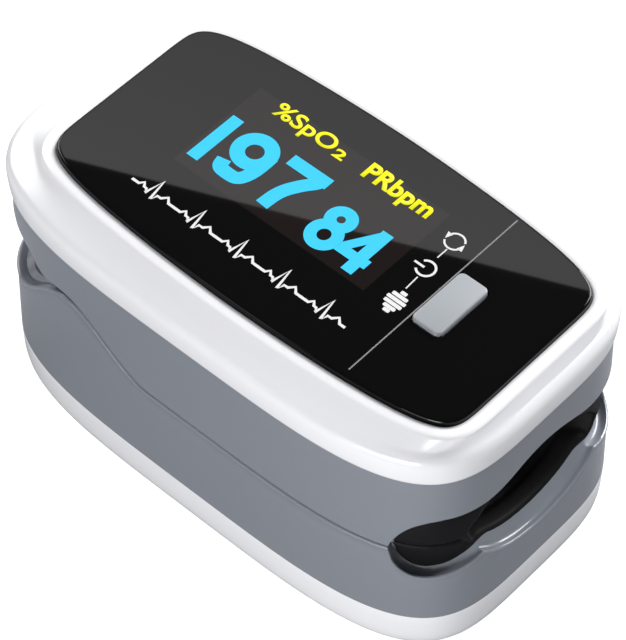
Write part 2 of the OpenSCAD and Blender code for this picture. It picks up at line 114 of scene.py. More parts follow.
PAPER_GLOW, ROOM_DIM = 0.93, 0.09
bpy.ops.mesh.primitive_circle_add(vertices=96, radius=2.5, fill_type="NGON", location=(0, 0, -0.02 * MM))
floor = bpy.context.object
floor.name = "studio_floor"
paper = bpy.data.materials.new("studio_paper")
tree = empty_tree(paper)
paper_lit = new_node(tree, "ShaderNodeBsdfDiffuse", Color=(0.29, 0.295, 0.31, 1))
paper_shade = new_node(tree, "ShaderNodeBsdfDiffuse", Color=(0.3, 0.3, 0.3, 1))
paper_glow = new_node(tree, "ShaderNodeEmission", Strength=PAPER_GLOW)
paper_seen = new_node(tree, "ShaderNodeAddShader")
wire(paper_glow.outputs[0], paper_seen.inputs[0])
wire(paper_shade.outputs[0], paper_seen.inputs[1])
end_for_camera(tree, paper_lit, paper_seen, "ShaderNodeOutputMaterial")
floor.data.materials.append(paper)

room = bpy.data.worlds.new("studio_room")
bpy.context.scene.world = room
tree = empty_tree(room)
room_dim = new_node(tree, "ShaderNodeBackground", Color=(0.96, 0.98, 1.0, 1), Strength=ROOM_DIM)
room_white = new_node(tree, "ShaderNodeBackground", Color=(1, 1, 1, 1))
end_for_camera(tree, room_dim, room_white, "ShaderNodeOutputWorld")
bpy.context.scene.view_settings.view_transform = "Standard"
print("floor", round(floor.dimensions.x, 1), "m across")

# %% Lights
def soft_box(name, place, target, size, power):
    """A rectangular area light at a place in metres, aimed at a target."""
    bpy.ops.object.light_add(type="AREA", location=place)
    lamp = bpy.context.object
    lamp.name = name
    lamp.data.shape = "RECTANGLE"
    lamp.data.size, lamp.data.size_y = size
    lamp.data.energy = power
    lamp.rotation_euler = (Vector(target) - Vector(place)).to_track_quat("-Z", "Y").to_euler()
    lamp.visible_camera = False
    return lamp


lamps = [
    soft_box("side_box", (0.12, -0.38, 0.05), (0, 0, 0.015), (0.30, 0.14), 0.68),
    soft_box("key_box", (0.05, 0.60, 0.42), (0, 0, 0.03), (0.45, 0.45), 10.4),
    soft_box("left_box", (-0.62, 0.05, 0.42), (0, 0, 0.03), (0.4, 0.4), 3.3),
    soft_box("corner_strip", (0.075, -0.15, 0.04), (0.03, -0.01, 0.015), (0.05, 0.06), 0.115),
    soft_box("lip_strip", (-0.27, -0.50, 0.33), (0, 0, 0.015), (0.10, 0.20), 0.16),
]
print("lights:", [lamp.name for lamp in lamps])

# %% Card
# A sheet whose near edge is mirrored as a slanting line from one end of the window to the other.
CARD_HEIGHT, CARD_LENGTH, CARD_DEPTH = 0.533, 0.9, 0.42
CARD_FADE, CARD_NEAR_GLOW, CARD_FAR_GLOW = 0.16, 2.65, 1.4
WINDOW_TOP_Z = 32.6
LINE_START, LINE_END = (-21.7, -11), (25.7, 9.8)


def mirrored(x, y):
    """Where on the card's height the camera sees, mirrored in the window at x, y in mm."""
    point = Vector((x * MM, y * MM, WINDOW_TOP_Z * MM))
    ray = point - CAMERA_AT
    ray.z = -ray.z
    return point + ray * ((CARD_HEIGHT - point.z) / ray.z)


edge_start, edge_end = mirrored(*LINE_START), mirrored(*LINE_END)
along = (edge_end - edge_start).normalized()
across = Vector((-along.y, along.x, 0))
middle = (edge_start + edge_end) / 2
bpy.ops.mesh.primitive_grid_add(x_subdivisions=1, y_subdivisions=24, size=1)
card = bpy.context.object
card.name = "studio_card"
for vertex in card.data.vertices:
    u, v = vertex.co.x, vertex.co.y + 0.5
    vertex.co = middle + along * (u * CARD_LENGTH) + across * (v * CARD_DEPTH)
card_material = bpy.data.materials.new("studio_card")
tree = empty_tree(card_material)
card_place = new_node(tree, "ShaderNodeTexCoord")
card_turn = new_node(tree, "ShaderNodeMapping", Location=(-middle.dot(across), 0, 0),
                     Rotation=(0, 0, -math.atan2(across.y, across.x)))
card_split = new_node(tree, "ShaderNodeSeparateXYZ")
card_ramp = new_node(tree, "ShaderNodeMapRange", From_Min=0.0, From_Max=CARD_FADE,
                     To_Min=CARD_NEAR_GLOW, To_Max=CARD_FAR_GLOW)
card_glow = new_node(tree, "ShaderNodeEmission")
card_out = new_node(tree, "ShaderNodeOutputMaterial")
wire(card_place.outputs["Object"], card_turn.inputs["Vector"])
wire(card_turn.outputs[0], card_split.inputs[0])
wire(card_split.outputs["X"], card_ramp.inputs["Value"])
wire(card_ramp.outputs[0], card_glow.inputs["Strength"])
wire(card_glow.outputs[0], card_out.inputs["Surface"])
card.data.materials.append(card_material)
card.visible_camera = False
card.visible_diffuse = False
print("card edge in mm:", [round(v / MM) for v in edge_start], [round(v / MM) for v in edge_end])

# %% [markdown]
# ## Finishes
# Moulded plastic is never one flat colour: it has a faint spark-eroded grain, a slow change of
# tone, and a slightly uneven polish. Image textures could carry that, but procedural noise stays
# sharp at any size and needs no unwrapping. One shared group makes the grain for every material.

# %% The shared grain
def maths(tree, operation, *values):
    """A Math node's result, from numbers or from other nodes' results."""
    node = tree.nodes.new("ShaderNodeMath")
    node.operation = operation
    for socket, value in zip(node.inputs, values):
        if isinstance(value, bpy.types.NodeSocket):
            wire(value, socket)
        else:
            socket.default_value = value
    return node.outputs[0]


grain = bpy.data.node_groups.new("moulded_grain", "ShaderNodeTree")
for title, value in (("Fine Scale", 5000), ("Tone Scale", 90), ("Tone Amount", 0.06),
                     ("Rough", 0.4), ("Rough Amount", 0.08)):
    socket = grain.interface.new_socket(name=title, in_out="INPUT", socket_type="NodeSocketFloat")
    socket.default_value = value
for title in ("Height", "Tone", "Roughness"):
    grain.interface.new_socket(name=title, in_out="OUTPUT", socket_type="NodeSocketFloat")
grain_in = new_node(grain, "NodeGroupInput")
grain_out = new_node(grain, "NodeGroupOutput")
place = new_node(grain, "ShaderNodeTexCoord")
fine = new_node(grain, "ShaderNodeTexNoise", Detail=3)
slow = new_node(grain, "ShaderNodeTexNoise", Detail=2)
for texture, title in ((fine, "Fine Scale"), (slow, "Tone Scale")):
    wire(place.outputs["Object"], texture.inputs["Vector"])
    wire(grain_in.outputs[title], texture.inputs["Scale"])
wire(fine.outputs["Fac"], grain_out.inputs["Height"])
for texture, base, amount, title in (
    (slow, 1.0, "Tone Amount", "Tone"),
    (fine, grain_in.outputs["Rough"], "Rough Amount", "Roughness"),
):
    centred = maths(grain, "SUBTRACT", texture.outputs["Fac"], 0.5)
    scaled = maths(grain, "MULTIPLY_ADD", centred, grain_in.outputs[amount], base)
    wire(scaled, grain_out.inputs[title])
print("group", grain.name, "puts out", [s.name for s in grain.interface.items_tree if s.in_out == "OUTPUT"])

# %% Making a material from the grain
GRAIN_DEPTH, COAT_ROUGH = 0.02, 0.1


def toned(tree, colour, tone):
    """A colour made a little lighter and darker by a changing tone."""
    tint = tree.nodes.new("ShaderNodeVectorMath")
    tint.operation = "SCALE"
    tint.inputs[0].default_value = colour
    wire(tone, tint.inputs["Scale"])
    return tint.outputs[0]


def finish(name, colour, rough, metal=0.0, fine_scale=5000, tone_scale=90, tone=0.06,
           rough_amount=0.08, bump=0.05, coat=0.0, specular=0.5):
    """A Principled material with the shared grain in its colour, roughness and bump."""
    material = bpy.data.materials.new(name)
    material.use_nodes = True
    tree = material.node_tree
    shader = tree.nodes["Principled BSDF"]
    texture = tree.nodes.new("ShaderNodeGroup")
    texture.node_tree = grain
    texture.name = "grain"
    for node, title, value in (
        (shader, "Metallic", metal), (shader, "Specular IOR Level", specular),
        (shader, "Coat Weight", coat), (shader, "Coat Roughness", COAT_ROUGH),
        (texture, "Fine Scale", fine_scale), (texture, "Tone Scale", tone_scale),
        (texture, "Tone Amount", tone), (texture, "Rough", rough), (texture, "Rough Amount", rough_amount),
    ):
        node.inputs[title].default_value = value
    wire(toned(tree, colour, texture.outputs["Tone"]), shader.inputs["Base Color"])
    wire(texture.outputs["Roughness"], shader.inputs["Roughness"])
    relief = new_node(tree, "ShaderNodeBump", Strength=bump, Distance=GRAIN_DEPTH * MM)
    wire(texture.outputs["Height"], relief.inputs["Height"])
    wire(relief.outputs[0], shader.inputs["Normal"])
    return material


case_grey = finish("case_grey", (0.225, 0.243, 0.276), 0.20, tone=0.025, bump=0.012, rough_amount=0.03)
case_white = finish("case_white", (0.88, 0.88, 0.905), 0.22, tone=0.02, bump=0.01, rough_amount=0.04,
                    coat=0.15)
silicone = finish("silicone_black", (0.0062, 0.0062, 0.0070), 0.6, tone=0.2, bump=0.1, rough_amount=0.1,
                  specular=0.13)
button_grey = finish("button_grey", (0.33, 0.35, 0.375), 0.32, tone=0.03, bump=0.1)
print("plastics:", case_grey.name, case_white.name, silicone.name, button_grey.name)

# %% [markdown]
# ### Smoked window, figures and prints
# The window is clear plastic smoked from behind, so it reads as a black mirror. The lit display
# shows through it as a slightly warmer, paler rectangle. The figures glow, and the signs are printed
# in white with a painted glow that makes the print brighter: thin shapes on the surface give them crisp edges
# from every side.

# %% Window and figure materials
DISPLAY_CENTRE, DISPLAY_HALF, DISPLAY_FADE = (-1.6, 2.2), (12.3, 6.3), 0.15


def recoloured(material, mask, colour):
    """Gives a material another colour where a mask is 1."""
    tree = material.node_tree
    base = tree.nodes["Principled BSDF"].inputs["Base Color"]
    mix = tree.nodes.new("ShaderNodeMix")
    mix.data_type = "RGBA"
    mix.inputs["B"].default_value = (*colour, 1)
    wire(mask, mix.inputs["Factor"])
    wire(base.links[0].from_socket, mix.inputs["A"])
    wire(mix.outputs["Result"], base)


window_black = finish("window_black", (0.0028, 0.0028, 0.003), 0.015, tone=0.1, bump=0.0,
                      rough_amount=0.01, specular=0.22)
tree = window_black.node_tree
where = new_node(tree, "ShaderNodeTexCoord")
centred = new_node(tree, "ShaderNodeMapping", Location=(-DISPLAY_CENTRE[0] * MM, -DISPLAY_CENTRE[1] * MM, 0))
apart = new_node(tree, "ShaderNodeSeparateXYZ")
wire(where.outputs["Object"], centred.inputs["Vector"])
wire(centred.outputs[0], apart.inputs[0])
inside = []
for axis, half in zip("XY", DISPLAY_HALF):
    edge = new_node(tree, "ShaderNodeMapRange", From_Min=half * MM, From_Max=(half - DISPLAY_FADE) * MM)
    wire(maths(tree, "ABSOLUTE", apart.outputs[axis]), edge.inputs["Value"])
    inside.append(edge.outputs[0])
recoloured(window_black, maths(tree, "MULTIPLY", *inside), (0.0115, 0.0085, 0.008))


def glowing(name, colour, strength):
    """A lit figure, or a print given a painted glow: an emission whose brightness changes a little over the
    surface.
    """
    material = finish(name, [0.3 * c for c in colour], 0.5, tone=0.05, tone_scale=900, bump=0.02,
                      specular=0.2)
    tree = material.node_tree
    shader = tree.nodes["Principled BSDF"]
    glow = toned(tree, colour, tree.nodes["grain"].outputs["Tone"])
    wire(glow, shader.inputs["Emission Color"])
    shader.inputs["Emission Strength"].default_value = strength
    return material


figure_blue = glowing("figure_blue", (0.035, 0.55, 0.88), 0.84)
figure_yellow = glowing("figure_yellow", (0.95, 0.90, 0.004), 0.75)
# The white print is ink and gives no light: its emission is a painted glow that lifts it to a bright white.
print_white_painted_glow = glowing("print_white_painted_glow", (0.82, 0.82, 0.82), 0.72)
print_grey = finish("print_grey", (0.20, 0.205, 0.21), 0.4, tone=0.05)
print("window and prints:", window_black.name, figure_blue.name, figure_yellow.name, print_white_painted_glow.name)

# %% [markdown]
# ### Metals, boards and cells
# Springs and pins are drawn wire, bright with a slightly smeared shine. Boards are green lacquer
# over copper. Cells wear a printed film with a pale band. These pieces show when a jaw or the
# door opens, so they get the same care for grain, only less of it.

# %% Inner materials
steel = finish("drawn_steel", (0.60, 0.61, 0.63), 0.28, metal=1.0, fine_scale=2500, tone=0.1, bump=0.06)
nickel = finish("nickel_plate", (0.70, 0.68, 0.64), 0.2, metal=1.0, fine_scale=3000, tone=0.08, bump=0.04)
chip_black = finish("chip_black", (0.018, 0.018, 0.02), 0.5, tone=0.1, bump=0.2)
part_tan = finish("part_tan", (0.42, 0.33, 0.18), 0.45, tone=0.15, bump=0.1)
carrier_white = finish("carrier_white", (0.66, 0.66, 0.61), 0.42, tone=0.05, bump=0.1)
lamp_white = finish("lamp_white", (0.78, 0.76, 0.66), 0.3, tone=0.05)
display_glass = finish("display_glass", (0.02, 0.02, 0.03), 0.05, tone=0.2, bump=0.0, rough_amount=0.02)
flex_amber = finish("flex_amber", (0.50, 0.21, 0.03), 0.3, tone=0.2, tone_scale=400, coat=0.4)
board_green = finish("board_green", (0.012, 0.13, 0.06), 0.3, tone=0.5, tone_scale=700, coat=0.5)
clear_window = finish("clear_window", (0.80, 0.86, 0.88), 0.06, tone=0.03, bump=0.01, rough_amount=0.02)
clear_window.node_tree.nodes["Principled BSDF"].inputs["Transmission Weight"].default_value = 0.9
cell_film = finish("cell_film", (0.05, 0.075, 0.11), 0.25, tone=0.15, coat=0.5)


def banded(material, axis, low, high, colour):
    """Gives a material another colour between two places along an axis, in mm."""
    tree = material.node_tree
    where = new_node(tree, "ShaderNodeTexCoord")
    apart = new_node(tree, "ShaderNodeSeparateXYZ")
    wire(where.outputs["Object"], apart.inputs[0])
    middle, reach = (low + high) / 2 * MM, (high - low) / 2 * MM
    recoloured(material, maths(tree, "COMPARE", apart.outputs[axis], middle, reach), colour)


banded(cell_film, "X", -18.0, -9.0, (0.55, 0.56, 0.57))
for low, high in ((-1.7, -1.2), (-0.25, 0.25), (1.2, 1.7)):
    banded(flex_amber, "Y", low, high, (0.30, 0.10, 0.01))
print("materials made:", len(bpy.data.materials))

# %% [markdown]
# ## Tools of the bench
# Most pieces start as one of two things: a sheet that is rolled round the case, or a copy of a
# frame node that is cleaned and softened. The helpers do what a hand does in edit mode: add the
# primitive, put its points, merge the seam, turn the normals out, and apply the modifiers.

# %% Selecting and finishing
def only(obj):
    """Makes obj the one selected and active object."""
    bpy.ops.object.select_all(action="DESELECT")
    obj.select_set(True)
    bpy.context.view_layer.objects.active = obj
    return obj


def edit(obj, *steps):
    """Runs edit-mode steps on all of obj's mesh."""
    only(obj)
    bpy.ops.object.mode_set(mode="EDIT")
    bpy.ops.mesh.select_all(action="SELECT")
    for step in steps:
        step()
    bpy.ops.object.mode_set(mode="OBJECT")
    return obj


def merge(distance=0.0005):
    bpy.ops.mesh.remove_doubles(threshold=distance * MM)


def outward():
    bpy.ops.mesh.normals_make_consistent(inside=False)


def close_ends():
    bpy.ops.mesh.select_all(action="DESELECT")
    bpy.ops.mesh.select_non_manifold(extend=False, use_wire=False, use_multi_face=False,
                                     use_non_contiguous=False, use_verts=False)
    bpy.ops.mesh.fill_holes(sides=0)
    bpy.ops.mesh.select_all(action="SELECT")


def smooth(obj, degrees=35):
    only(obj)
    bpy.ops.object.shade_smooth_by_angle(angle=math.radians(degrees))
    return obj


def modify(obj, kind, **settings):
    """Adds a modifier, sets it and applies it."""
    only(obj)
    modifier = obj.modifiers.new(kind.lower(), kind)
    for key, value in settings.items():
        setattr(modifier, key, value)
    bpy.ops.object.modifier_apply(modifier=modifier.name)
    return obj


def settle(obj):
    """Puts an object's place, turn and size into its mesh."""
    only(obj)
    bpy.ops.object.transform_apply(location=True, rotation=True, scale=True)
    return obj


def carve(obj, cutter, operation="DIFFERENCE"):
    """Cuts obj with another mesh, which is then removed."""
    modify(obj, "BOOLEAN", object=cutter, operation=operation, solver="EXACT")
    bpy.data.objects.remove(cutter)
    return obj


def dress(obj, material, body, slot, *replaced):
    """Gives a finished piece its material and its body, and hides the frame nodes that it stands for. The
    slot is not used.
    """
    obj.data.materials.clear()
    obj.data.materials.append(material)
    if body:
        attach(obj, body)
    if replaced:
        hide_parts(*replaced)
    return obj


print("bench ready")

# %% Rolling a sheet
def named(name):
    """The object that an operator has just added, with its name."""
    obj = bpy.context.object
    obj.name = obj.data.name = name
    return obj


def sheet(name, rows):
    """A grid whose points are put on rows of points in mm."""
    bpy.ops.object.select_all(action="DESELECT")
    bpy.ops.mesh.primitive_grid_add(x_subdivisions=rows.shape[1] - 1, y_subdivisions=rows.shape[0] - 1)
    obj = settle(named(name))
    assert len(obj.data.vertices) == rows.shape[0] * rows.shape[1]
    obj.data.vertices.foreach_set("co", (rows * MM).reshape(-1))
    obj.data.update()
    return obj


def rolled(name, rows, around=True, section_closed=False):
    """A sheet whose columns close round if around is set, and whose rows close if section_closed
    is set. Open ends are filled."""
    rows = np.asarray(rows, float)
    if section_closed:
        rows = np.concatenate([rows, rows[:1]], axis=0)
    if around:
        rows = np.concatenate([rows, rows[:, :1]], axis=1)
    return edit(sheet(name, rows), merge, close_ends, outward)


def block(name, low, high):
    """A box between two corners in mm."""
    low, high = Vector(low) * MM, Vector(high) * MM
    bpy.ops.object.select_all(action="DESELECT")
    bpy.ops.mesh.primitive_cube_add(size=1, location=(low + high) / 2)
    obj = named(name)
    obj.scale = high - low
    return settle(obj)


def bevel_where(obj, test, width, segments):
    """Bevels the edges whose two ends pass a test on their places in mm."""
    only(obj)
    bpy.ops.object.mode_set(mode="EDIT")
    bpy.ops.mesh.select_all(action="DESELECT")
    bpy.ops.object.mode_set(mode="OBJECT")
    for e in obj.data.edges:
        a, b = (obj.data.vertices[v].co / MM for v in e.vertices)
        e.select = bool(test(a, b))
    bpy.ops.object.mode_set(mode="EDIT")
    bpy.ops.mesh.select_mode(type="EDGE")
    bpy.ops.mesh.bevel(offset=width * MM, segments=segments, affect="EDGES")
    bpy.ops.object.mode_set(mode="OBJECT")
    return obj


def copy_of(node, name):
    """A merged copy of a frame node's mesh, to be worked on."""
    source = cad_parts[node]
    obj = bpy.data.objects.new(name, source.data.copy())
    obj.data.name = name
    bpy.context.scene.collection.objects.link(obj)
    obj.data.materials.clear()
    only(obj)
    if obj.data.has_custom_normals:
        bpy.ops.mesh.customdata_custom_splitnormals_clear()
    return edit(obj, lambda: merge(0.002), outward)


def softened(node, name, width, segments=2):
    """A frame node's shape with its flat faces made whole and its sharp edges rounded."""
    obj = copy_of(node, name)
    edit(obj, lambda: bpy.ops.mesh.dissolve_limited(angle_limit=math.radians(1)))
    modify(obj, "BEVEL", width=width * MM, segments=segments, limit_method="ANGLE",
           angle_limit=math.radians(40), use_clamp_overlap=True)
    return smooth(obj, 30)


print("shapes ready")

# %% [markdown]
# ## The case's outline
# Seen from above the case is a squared-off oval: four soft corners and four slightly bowed sides.
# A bezier circle could be bent to it by eye. A formula with one power for each axis gives the same
# curve in every piece, with evenly spaced points, more of them round the finger opening.

# %% Ovals
CASE_HALF = (30.5, 17.8)
CASE_POWER = (3.84, 4.25)
WINDOW_HALF = (25.8, 13.26)
WINDOW_POWER = (1.655, 11.7)
WINDOW_X = 1.5
FINE_TURNS = 40000


def ease(t):
    t = np.clip(t, 0, 1)
    return t * t * (3 - 2 * t)


def oval(half, power, count, dense_from=None, dense=1.0):
    """Points and outward normals of an oval, in mm, evenly spaced or denser beyond an x."""
    turn = 2 * np.pi * np.arange(FINE_TURNS) / FINE_TURNS + 1e-4
    c, s = np.cos(turn), np.sin(turn)
    x = half[0] * np.sign(c) * np.abs(c) ** (2 / power[0])
    y = half[1] * np.sign(s) * np.abs(s) ** (2 / power[1])
    step = np.hypot(np.diff(x, append=x[0]), np.diff(y, append=y[0]))
    if dense_from is not None:
        step = step * np.where(x > dense_from, dense, 1)
    way = np.concatenate([[0], np.cumsum(step)])
    want = np.arange(count) / count * way[-1]
    x = np.interp(want, way, np.append(x, x[0]))
    y = np.interp(want, way, np.append(y, y[0]))
    nx = np.sign(x) * (power[0] / half[0]) * np.abs(x / half[0]) ** (power[0] - 1)
    ny = np.sign(y) * (power[1] / half[1]) * np.abs(y / half[1]) ** (power[1] - 1)
    size = np.hypot(nx, ny)
    return np.stack([x, y], 1), np.stack([nx / size, ny / size], 1)


CASE_COLUMNS = 420
case_line, case_out = oval(CASE_HALF, CASE_POWER, CASE_COLUMNS, dense_from=19, dense=3.0)
BASE_Z, COVER_Z = 5.4, 26.8


def lean(z):
    """How far the case's side has leaned in at a height."""
    return 0.5 * np.clip((z - BASE_Z) / (COVER_Z - BASE_Z), 0, 1)


def ring(inset, z, line=case_line, out=case_out):
    """One row of points round the case, at an inset and a height (numbers or one per column)."""
    inset = np.broadcast_to(inset, (len(line),))[:, None]
    z = np.broadcast_to(z, (len(line),))[:, None]
    return np.concatenate([line - out * inset, z], axis=1)


print("outline:", CASE_COLUMNS, "points")

# %% [markdown]
# ## Edges of the two jaws
# Along the sides the lower jaw's edge is straight, and behind it rises over the hinge in a wave.
# Round the finger opening it drops in a hook at each corner and then in one wide scoop, with a
# small point between them. The upper jaw's edge follows it a hair above along the sides and arches
# over the opening. Both are heights along the outline, written as curves rather than cut out.

# %% Edge curves
MOUTH_X = 24.3
SEAM_Z, EAR_Z, REAR_LIP_Z, REAR_EDGE_Z = 16.0, 21.0, 14.4, 19.85
SEAM_GAP, EAR_GAP = 0.07, 0.35
CUSP_Y, CUSP_Z = 8.3, 13.28
SCOOP_LOW_Z, SCOOP_R = 10.4, 13.4
HOOK_LOW_Z = 12.1
EAR_X = -16.2
REAR_CLIMB, FRONT_CLIMB = (-27, -16.4), (-5, -15.9)
ARCH_CLIMB, GAP_CLIMB = (-24, -16.5), (-13, -16.5)


def rising(x, ends, low, high):
    """A smooth climb from a low to a high height between two places along x."""
    return low + (high - low) * ease((x - ends[0]) / (ends[1] - ends[0]))


def seam(x):
    rear = rising(x, REAR_CLIMB, REAR_LIP_Z, EAR_Z)
    front = rising(x, FRONT_CLIMB, SEAM_Z, EAR_Z)
    return np.where(x < EAR_X, rear, front)


def upper_edge(x):
    arch = rising(x, ARCH_CLIMB, REAR_EDGE_Z, EAR_Z + EAR_GAP)
    gap = rising(x, GAP_CLIMB, SEAM_GAP, EAR_GAP)
    return np.where(x < ARCH_CLIMB[1], arch, seam(x) + gap)


x_of, y_of = case_line[:, 0], np.abs(case_line[:, 1])
in_mouth = x_of > MOUTH_X
# The way along the outline, from the corner of the opening, as a function of y.
half = [i for i in range(CASE_COLUMNS // 2) if in_mouth[i]]
way_y = y_of[half]
way_s = np.concatenate([[0], np.cumsum(np.hypot(*np.diff(case_line[half], axis=0).T))])
half_mouth = way_s[-1]
along_mouth = np.where(in_mouth, half_mouth - np.interp(y_of, way_y, way_s), 0)
cusp_way = half_mouth - np.interp(CUSP_Y, way_y, way_s)
t = np.clip(along_mouth / cusp_way, 0, 1)
HOOK_T, HOOK_POWER, CLIMB_POWER = 0.40, 2.3, 1.9
hook_drop = (1 - (1 - np.clip(t / HOOK_T, 0, 1)) ** HOOK_POWER) ** (1 / HOOK_POWER)
hook = HOOK_LOW_Z + (SEAM_Z - HOOK_LOW_Z) * (1 - hook_drop)
climb_share = np.clip((t - HOOK_T) / (1 - HOOK_T), 0, 1) ** CLIMB_POWER
climb = HOOK_LOW_Z + (CUSP_Z - HOOK_LOW_Z) * climb_share
corner_edge = np.where(t < HOOK_T, hook, climb)
scoop_edge = SCOOP_LOW_Z + SCOOP_R - np.sqrt(np.maximum(SCOOP_R**2 - y_of**2, 1))
lower_edge_z = np.where(in_mouth, np.where(y_of < CUSP_Y, scoop_edge, corner_edge), seam(x_of))

# Heights of the upper edge: by the way in from the corner, and by the distance from the middle.
UPPER_CORNER = np.array([(0, 16.4), (.25, 17.2), (.6, 18.0), (1.2, 18.9), (2.2, 19.9), (3.6, 20.65),
                         (5.2, 20.95), (7.5, 20.95)])
UPPER_ARCH = np.array([(0, 22.75), (2.6, 22.45), (5.0, 21.65), (6.8, 21.1), (8.5, 20.95), (30, 20.95)])


def relaxed(heights, passes, own_share):
    """Heights round the outline, each moved towards its neighbours a few times."""
    for _ in range(passes):
        beside = np.roll(heights, 1) + np.roll(heights, -1)
        heights = (beside + own_share * heights) / (2 + own_share)
    return heights


upper_front = relaxed(np.interp(along_mouth, *UPPER_CORNER.T), 4, 2)
upper_front += relaxed(np.interp(y_of, *UPPER_ARCH.T), 30, 1) - UPPER_ARCH[-1, 1]
upper_edge_z = np.where(in_mouth, np.maximum(upper_front, SEAM_Z + SEAM_GAP), upper_edge(x_of))
print("lower edge", round(lower_edge_z.min(), 2), "to", round(lower_edge_z.max(), 2), "mm high")

# %% [markdown]
# ## Lower case
# On the real thing this is one moulded shell, 1.5 mm thick: smooth walls, a thin bright lip, a
# glossy groove round the finger opening, and a shelf behind it at the squeeze end. The wall is a
# sheet rolled round the outline whose section changes from place to place. The ribs, deck and
# hinge bosses inside come from the frame's own shape, cut to fit within the wall.

# %% Blending wall sections
def blended(sections, weights):
    """Rows of (inset, z above the edge) blended column by column from several sections."""
    total = sum(weights)
    rows = []
    for points in zip(*sections):
        inset = sum(w * p[0] for w, p in zip(weights, points)) / total
        rise = sum(w * p[1] for w, p in zip(weights, points)) / total
        rows.append((inset, rise))
    return rows


LIP_PLAIN = [(0, -.65), (-.07, -.46), (-.13, -.3), (-.12, -.14), (-.04, -.02), (.1, .03), (.3, .03),
             (.6, .02), (.9, .02), (1.2, .02), (1.4, -.03), (1.5, -.15), (1.5, -.8)]
LIP_REAR = [(0, -.65), (-.05, -.42), (-.08, -.24), (-.05, -.1), (.03, -.02), (.14, 0), (.3, -.06), (.5, -.18),
            (.75, -.34), (1.0, -.5), (1.25, -.68), (1.45, -.83), (1.6, -.95)]
LIP_GROOVE = [(0, -.6), (-.09, -.34), (-.12, -.14), (-.05, 0), (.1, .03), (.28, -.12), (.5, -.38),
              (.8, -.55), (1.08, -.48), (1.28, -.22), (1.38, -.08), (1.5, -.12), (1.62, -.8)]
LIP_SCOOP = [(0, -.6), (-.09, -.34), (-.12, -.14), (-.05, .02), (.1, .07), (.26, -.01), (.46, -.06),
             (.72, .04), (.98, .3), (1.22, .66), (1.42, 1.0), (1.56, 1.14), (1.66, .2)]
mouth_share = np.where(in_mouth, ease(along_mouth / 1.3), 0)
scoop_share = ease((CUSP_Y + 1.7 - y_of) / 3.6) * in_mouth
groove_share = mouth_share * (1 - scoop_share)
rear_share = ease((-20.5 - x_of) / 3.5)
plain_share = 1 - mouth_share - rear_share
SHELF_Z, SHELF_REACH, SHELF_THICKNESS = 13.4, 5.0, 0.45
lip_rows = blended((LIP_PLAIN, LIP_GROOVE, LIP_SCOOP, LIP_REAR),
                   (plain_share, groove_share, scoop_share + 1e-9, rear_share))
rows = [ring(0.0, BASE_Z)]
rows += [ring(lean(z), z) for f in (.1, .3, .5, .7, .9)
         for z in [BASE_Z + (lower_edge_z - 0.4 - BASE_Z) * f]]
rows += [ring(lean(lower_edge_z + rise) + inset, lower_edge_z + rise) for inset, rise in lip_rows]
inner = lip_rows[-1][0]
# Away from the squeeze end the shelf stays hidden below the edge.
shelf_top = np.minimum(SHELF_Z, lower_edge_z - np.where(rear_share > 0, 0.5, 1.2))
shelf_end = inner + 0.1 + SHELF_REACH * rear_share
rows += [
    ring(inner + 0.05 + 0.2 * rear_share, shelf_top + 0.02),
    ring(inner + 0.1 + 0.6 * rear_share, shelf_top),
    ring(shelf_end, shelf_top - 0.02),
    ring(shelf_end, shelf_top - SHELF_THICKNESS),
    ring(inner + 0.1, shelf_top - 0.6),
    ring(inner + 0.3, BASE_Z + 2.0),
    ring(inner, BASE_Z),
]
lower_case = smooth(rolled("lower_case", rows, section_closed=True), 50)
print("lower case wall:", len(lower_case.data.polygons), "faces")

# %% Inner parts from the frame
INNER_X = 24.0


def inner_parts(node, name, inset):
    """What a frame node has inside the wall: its copy, cut to a slightly smaller oval."""
    obj = copy_of(node, name)
    line, out = oval(CASE_HALF, CASE_POWER, 160)
    prism = rolled("cutter", [ring(inset, BASE_Z - 1, line, out), ring(inset, COVER_Z + 1, line, out)])
    carve(obj, prism, "INTERSECT")
    carve(obj, block("cutter", (INNER_X, -40, -10), (60, 40, 60)))
    return smooth(obj, 30)


def join(target, *others):
    only(target)
    for other in others:
        other.select_set(True)
    bpy.ops.object.join()
    return target


lower_inside = inner_parts("lower_shell", "lower_inside", 1.15)
join(lower_case, lower_inside)
dress(lower_case, case_grey, "lower_jaw", "case_grey", "lower_shell")
print("lower case:", len(lower_case.data.polygons), "faces")

# %% [markdown]
# ## Upper case
# The upper jaw's grey wall hangs from the white cover. Its lower edge is crisp along the sides and
# rolls inward behind, where fingers squeeze, and a short skirt there hides the works. It is made
# as the lower wall is, from the cover down.

# %% Upper wall
EDGE_PLAIN = [(0, 1.6), (0, .7), (.01, .3), (.03, .1), (.08, .02), (.3, 0), (.6, 0), (1.0, 0), (1.34, .03),
              (1.5, .2), (1.5, .5), (1.5, .9), (1.5, 1.3)]
EDGE_REAR = [(0, 3.6), (.1, 2.6), (.32, 1.7), (.68, .95), (1.1, .35), (1.6, -.15), (2.05, -.6), (2.4, -1.05),
             (2.65, -1.5), (2.8, -1.85), (3.5, -1.85), (3.8, -1.0), (3.8, 1.3)]
rear_share = ease((-19.5 - x_of) / 4.5)
edge_rows = blended((EDGE_PLAIN, EDGE_REAR), (1 - rear_share, rear_share))
rows = [ring(0.5 + 1.5, COVER_Z - 0.02), ring(0.5, COVER_Z - 0.02)]
rows += [ring(lean(z), z) for f in (.04, .25, .5, .75)
         for z in [COVER_Z + (upper_edge_z + edge_rows[0][1] - COVER_Z) * f]]
rows += [ring(lean(upper_edge_z + rise) + inset, upper_edge_z + rise) for inset, rise in edge_rows]
rows += [ring(0.5 + edge_rows[-1][0], (upper_edge_z + COVER_Z) / 2 + 1)]
upper_case = smooth(rolled("upper_case", rows, section_closed=True), 50)
upper_inside = inner_parts("upper_shell", "upper_inside", 1.45)
join(upper_case, upper_inside)
dress(upper_case, case_grey, "upper_jaw", "case_grey", "upper_shell")
print("upper case:", len(upper_case.data.polygons), "faces")

